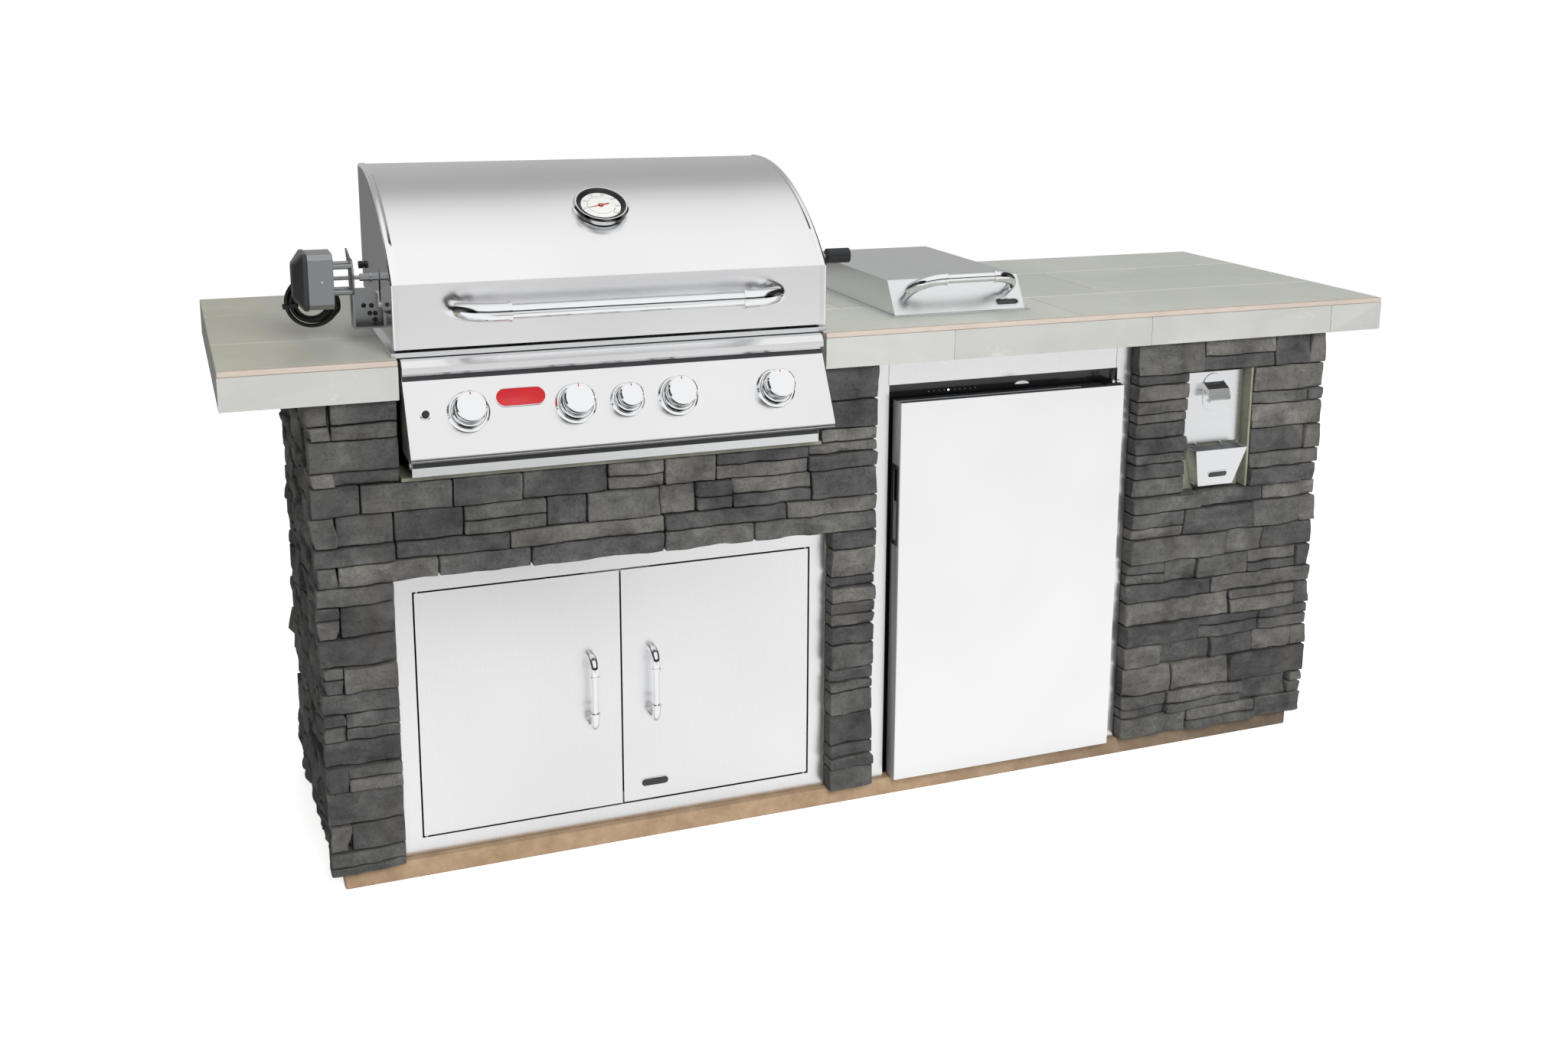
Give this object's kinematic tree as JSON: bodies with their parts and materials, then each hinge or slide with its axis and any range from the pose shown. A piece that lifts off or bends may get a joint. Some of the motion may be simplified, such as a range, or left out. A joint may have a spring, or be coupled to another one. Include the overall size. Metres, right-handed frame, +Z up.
{
  "type": "outdoor kitchen island",
  "caption": "Stone-clad outdoor kitchen island with tiled counter, built-in gas grill and hood, rotisserie, side burner, access doors, fridge and bottle opener.",
  "frame": {"origin": "middle of the plinth's underside, on the floor", "axes": "+X to the right along the front, +Y from the front to the back, +Z up"},
  "size_m": [2.275, 0.7963, 1.2279],
  "materials": {
    "tan_concrete": "matt",
    "frame_steel": "galvanised",
    "cement_board": "matt greenish grey mortar",
    "ledge_stone": "rough split stone",
    "slab_concrete": "matt",
    "top_tile": "satin",
    "edge_tile": "satin, faint veins",
    "trim_tile": "satin",
    "grill_steel": "brushed",
    "bright_chrome": "polished",
    "brass_fittings": "plain",
    "grate_steel": "satin rods",
    "burner_iron": "matt black",
    "dark_bolt": "black",
    "motor_housing": "satin",
    "dark_plastic": "black",
    "cord_rubber": "black sheath",
    "door_steel": "brushed",
    "fridge_black": "black",
    "shelf_glass": "clear",
    "pale_steel": "pale satin",
    "liner_plastic": "grey-white"
  },
  "bodies": {
    "island": {"plinth": "tan_concrete", "steel_frame": "frame_steel", "front_board": "cement_board", "wall_boards": "cement_board", "stones_front": "ledge_stone", "stones_ends": "ledge_stone", "stones_back": "ledge_stone", "counter_slab": "slab_concrete", "counter_tiles": "top_tile", "edge_tiles": "edge_tile", "edge_trim": "trim_tile", "firebox": "grill_steel", "grill_rim": "grill_steel", "control_panel": "grill_steel", "knob_bezels": "bright_chrome", "gas_manifold": "brass_fittings", "main_burners": "grill_steel", "flame_tamers": "grill_steel", "cooking_grates": "grate_steel", "rear_burner": "burner_iron", "hood_pins": "dark_bolt", "motor_bracket": "grill_steel", "motor_case": "motor_housing", "motor_end_cap": "dark_plastic", "motor_standoffs": "grill_steel", "motor_cord": "cord_rubber", "cord_coil": "cord_rubber", "cord_plug": "dark_plastic", "burner_tray": "grill_steel", "burner_head": "burner_iron", "burner_grate": "burner_iron", "door_frame": "door_steel", "fridge_cabinet": "fridge_black", "fridge_trim": "door_steel", "fridge_shelves": "shelf_glass", "bottle_opener": "grill_steel", "cap_catcher": "grill_steel"},
    "hood": {"hood_shell": "grill_steel", "hood_handle": "bright_chrome", "thermometer_case": "bright_chrome"},
    "needle": {"thermometer_needle": "dark_bolt"},
    "drip_drawer": {"drip_tray": "grill_steel"},
    "knob_1": {"knob_1": "bright_chrome"},
    "knob_2": {"knob_2": "bright_chrome"},
    "knob_3": {"knob_3": "bright_chrome"},
    "knob_4": {"knob_4": "bright_chrome"},
    "knob_5": {"knob_5": "bright_chrome"},
    "igniter": {"igniter_button": "dark_plastic"},
    "spit": {"spit_rod": "grill_steel", "spit_forks": "grill_steel", "spit_grip": "dark_plastic"},
    "side_lid": {"burner_lid": "grill_steel", "lid_handle": "bright_chrome"},
    "side_knob": {"burner_knob": "bright_chrome"},
    "left_door": {"door_left": "door_steel", "door_handle_left": "bright_chrome"},
    "right_door": {"door_right": "door_steel", "door_handle_right": "bright_chrome"},
    "fridge_leaf": {"fridge_door": "pale_steel", "fridge_liner": "liner_plastic"}
  },
  "joints": [
    {"name": "hood_hinge", "type": "hinge", "parent": "island", "child": "hood", "pos_m": [-0.4885, 0.076, 1.044], "axis": [-1, 0, 0], "range_deg": [0, 90]},
    {"name": "knob_1_turn", "type": "hinge", "parent": "island", "child": "knob_1", "pos_m": [-0.7585, -0.33577, 0.851], "axis": [0, -0.8659, 0.5001], "range_deg": [0, 225]},
    {"name": "knob_2_turn", "type": "hinge", "parent": "island", "child": "knob_2", "pos_m": [-0.5785, -0.33577, 0.851], "axis": [0, -0.8659, 0.5001], "range_deg": [0, 225]},
    {"name": "knob_3_turn", "type": "hinge", "parent": "island", "child": "knob_3", "pos_m": [-0.4885, -0.33577, 0.851], "axis": [0, -0.8659, 0.5001], "range_deg": [0, 225]},
    {"name": "knob_4_turn", "type": "hinge", "parent": "island", "child": "knob_4", "pos_m": [-0.3985, -0.33577, 0.851], "axis": [0, -0.8659, 0.5001], "range_deg": [0, 225]},
    {"name": "knob_5_turn", "type": "hinge", "parent": "island", "child": "knob_5", "pos_m": [-0.2185, -0.33577, 0.851], "axis": [0, -0.8659, 0.5001], "range_deg": [0, 225]},
    {"name": "igniter_press", "type": "slide", "parent": "island", "child": "igniter", "axis": [0, 0.8659, -0.5001], "range_m": [0, 0.004], "stiffness_N_per_m": 400},
    {"name": "drip_tray_slide", "type": "slide", "parent": "island", "child": "drip_drawer", "axis": [0, -1, 0], "range_m": [0, 0.32]},
    {"name": "needle_sweep", "type": "hinge", "parent": "hood", "child": "needle", "pos_m": [-0.4885, -0.18002, 1.16797], "axis": [0, 0.5237, -0.8519], "range_deg": [0, 230], "stiffness_Nm_per_rad": 0.002},
    {"name": "spit_turn", "type": "hinge", "parent": "island", "child": "spit", "pos_m": [-0.4885, -0.149, 1.055], "axis": [1, 0, 0], "continuous": true},
    {"name": "side_lid_hinge", "type": "hinge", "parent": "island", "child": "side_lid", "pos_m": [0.211, 0.258, 0.949], "axis": [-1, 0, 0], "range_deg": [0, 90]},
    {"name": "side_knob_turn", "type": "hinge", "parent": "island", "child": "side_knob", "pos_m": [0.211, -0.156, 0.945], "axis": [0, 0, 1], "range_deg": [0, 225]},
    {"name": "left_door_hinge", "type": "hinge", "parent": "island", "child": "left_door", "pos_m": [-0.845, -0.256, 0.295], "axis": [0, 0, -1], "range_deg": [0, 110]},
    {"name": "right_door_hinge", "type": "hinge", "parent": "island", "child": "right_door", "pos_m": [-0.129, -0.256, 0.295], "axis": [0, 0, 1], "range_deg": [0, 110]},
    {"name": "fridge_door_hinge", "type": "hinge", "parent": "island", "child": "fridge_leaf", "pos_m": [0.517, -0.284, 0.4165], "axis": [0, 0, 1], "range_deg": [0, 110]}
  ]
}
